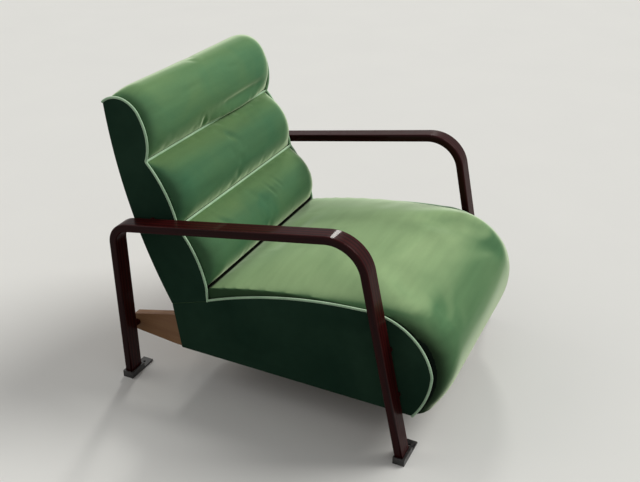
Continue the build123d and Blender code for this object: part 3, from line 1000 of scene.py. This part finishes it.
def screwHead(look, turn):
    # Raised slotted head that stands on XY
    bm = bmesh.new()
    bmesh.ops.create_cone(bm, cap_ends=True, segments=look["sides"], radius1=look["head"],
                          radius2=look["head"] * look["crown"], depth=look["rise"])
    for side in (-1, 1):
        bmesh.ops.bisect_plane(bm, geom=bm.verts[:] + bm.edges[:] + bm.faces[:],
                               plane_co=(side * look["slot"] / 2, 0, 0), plane_no=(1, 0, 0))
    top = [f for f in bm.faces if f.normal.z > 0.9 and abs(f.calc_center_median().x) < look["slot"] / 2]
    sunk = bmesh.ops.extrude_face_region(bm, geom=top)["geom"]
    lowered = [g for g in sunk if isinstance(g, bmesh.types.BMVert)]
    bmesh.ops.translate(bm, vec=(0, 0, -look["slotDepth"]), verts=lowered)
    bmesh.ops.delete(bm, geom=top, context="FACES_ONLY")
    bmesh.ops.translate(bm, vec=(0, 0, look["rise"] / 2), verts=bm.verts)
    bmesh.ops.rotate(bm, matrix=Matrix.Rotation(turn, 3, "Z"), verts=bm.verts)
    bmesh.ops.recalc_face_normals(bm, faces=bm.faces)
    return bm


def makePanelScrews(look):
    # A row up each edge of the rear panel and one across its top and foot, set on the panel's surface
    bm = mergedCopy("back_panel")
    surface = BVHTree.FromBMesh(bm)
    bm.free()
    low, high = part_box("back_panel")
    left, right = low.x + look["fromEdge"], high.x - look["fromEdge"]
    foot, top = low.z + look["fromEdge"], high.z - look["fromEdge"]
    spots = []
    for step in range(look["acrossCount"]):
        x = left + (right - left) * step / (look["acrossCount"] - 1)
        spots += [(x, foot), (x, top)]
    for step in range(1, look["upCount"] - 1):
        z = foot + (top - foot) * step / (look["upCount"] - 1)
        spots += [(left, z), (right, z)]
    screws = bpy.data.meshes.new("screws")
    joined = bmesh.new()
    for number, (x, z) in enumerate(spots):
        spot, normal, _, _ = surface.ray_cast(Vector((x, high.y + 0.1, z)), Vector((0, -1, 0)))
        head = screwHead(look, number * look["turn"])
        bmesh.ops.rotate(head, matrix=normal.to_track_quat("Z", "Y").to_matrix(), verts=head.verts)
        bmesh.ops.translate(head, vec=spot, verts=head.verts)
        head.to_mesh(screws)
        head.free()
        joined.from_mesh(screws)
    bpy.data.meshes.remove(screws)
    return finishPiece(joined, "panel_screws", blackMetal, smooth=False)


makePanelScrews(panelScrews)
print("panel screwed on")


# Floor and light

stageLook = {"floor": (0.80, 0.80, 0.78, 1), "floorMottle": (0.77, 0.77, 0.755, 1), "mottleScale": 3.0,
             "bounce": (0.30, 0.30, 0.29, 1), "rough": 0.8, "specular": 0.1, "halfSize": 60.0,
             "sky": (0.80, 0.80, 0.79, 1), "skyLight": 0.32}


def seenDirectly(tree, place):
    # 1 for rays from the camera, from gloss or through glass, 0 for the soft bounced light
    rays = addNode(tree, "ShaderNodeLightPath", place)
    direct = addNode(tree, "ShaderNodeMath", (place[0] + 200, place[1]), operation="MAXIMUM")
    shown = addNode(tree, "ShaderNodeMath", (place[0] + 400, place[1]), operation="MAXIMUM")
    tree.links.new(rays.outputs["Is Camera Ray"], direct.inputs[0])
    tree.links.new(rays.outputs["Is Glossy Ray"], direct.inputs[1])
    tree.links.new(direct.outputs["Value"], shown.inputs[0])
    tree.links.new(rays.outputs["Is Transmission Ray"], shown.inputs[1])
    return shown.outputs["Value"]


def makeFloor():
    material, tree, shader, place = startMaterial("paleFloor")
    mottle = addNode(tree, "ShaderNodeTexNoise", (-700, 0), {
        "Scale": stageLook["mottleScale"], "Detail": 3.0})
    tone = addNode(tree, "ShaderNodeMix", (-400, 0), {
        "A": stageLook["floor"], "B": stageLook["floorMottle"]}, data_type="RGBA")
    chosen = addNode(tree, "ShaderNodeMix", (-200, 0), {"A": stageLook["bounce"]}, data_type="RGBA")
    tree.links.new(place, mottle.inputs["Vector"])
    tree.links.new(mottle.outputs["Fac"], tone.inputs["Factor"])
    tree.links.new(seenDirectly(tree, (-900, 300)), chosen.inputs["Factor"])
    tree.links.new(tone.outputs["Result"], chosen.inputs["B"])
    tree.links.new(chosen.outputs["Result"], shader.inputs["Base Color"])
    shader.inputs["Roughness"].default_value = stageLook["rough"]
    shader.inputs["Specular IOR Level"].default_value = stageLook["specular"]
    bm = bmesh.new()
    bmesh.ops.create_grid(bm, x_segments=1, y_segments=1, size=stageLook["halfSize"])
    mesh = bpy.data.meshes.new("floor")
    bm.to_mesh(mesh)
    bm.free()
    mesh.materials.append(material)
    floor = bpy.data.objects.new("floor", mesh)
    scene.collection.objects.link(floor)


def makeWorld():
    world = bpy.data.worlds.new("studio")
    scene.world = world
    world.use_nodes = True
    tree = world.node_tree
    light = tree.nodes["Background"]
    light.inputs["Color"].default_value = (1.0, 1.0, 1.0, 1)
    light.inputs["Strength"].default_value = stageLook["skyLight"]
    seen = addNode(tree, "ShaderNodeBackground", (0, -200), {"Color": stageLook["sky"], "Strength": 1.0})
    choose = addNode(tree, "ShaderNodeMixShader", (300, 0))
    tree.links.new(seenDirectly(tree, (-400, 300)), choose.inputs["Fac"])
    tree.links.new(light.outputs["Background"], choose.inputs[1])
    tree.links.new(seen.outputs["Background"], choose.inputs[2])
    tree.links.new(choose.outputs["Shader"], tree.nodes["World Output"].inputs["Surface"])


# Each lamp shines from its direction and is as wide across as its angle
lampLooks = {
    "overhead": {"from": (0.56, -0.48, 0.70), "strength": 1.95, "angle": 34.0, "colour": (1.0, 0.99, 0.95)},
    "side": {"from": (0.818, 0.25, 0.515), "strength": 0.62, "angle": 8.0, "colour": (1.0, 0.99, 0.94)},
    "rear": {"from": (-0.15, 0.80, 0.58), "strength": 0.35, "angle": 40.0, "colour": (1.0, 0.95, 0.86)},
}


def makeLamp(name, look):
    light = bpy.data.lights.new(name, "SUN")
    light.angle = math.radians(look["angle"])
    light.energy = look["strength"]
    light.color = look["colour"]
    lamp = bpy.data.objects.new(name, light)
    lamp.location = Vector(look["from"]) * 3
    lamp.rotation_euler = Vector(look["from"]).to_track_quat("Z", "Y").to_euler()
    scene.collection.objects.link(lamp)


makeFloor()
makeWorld()
for lampName, lampLook in lampLooks.items():
    makeLamp(lampName, lampLook)
print("stage lit")
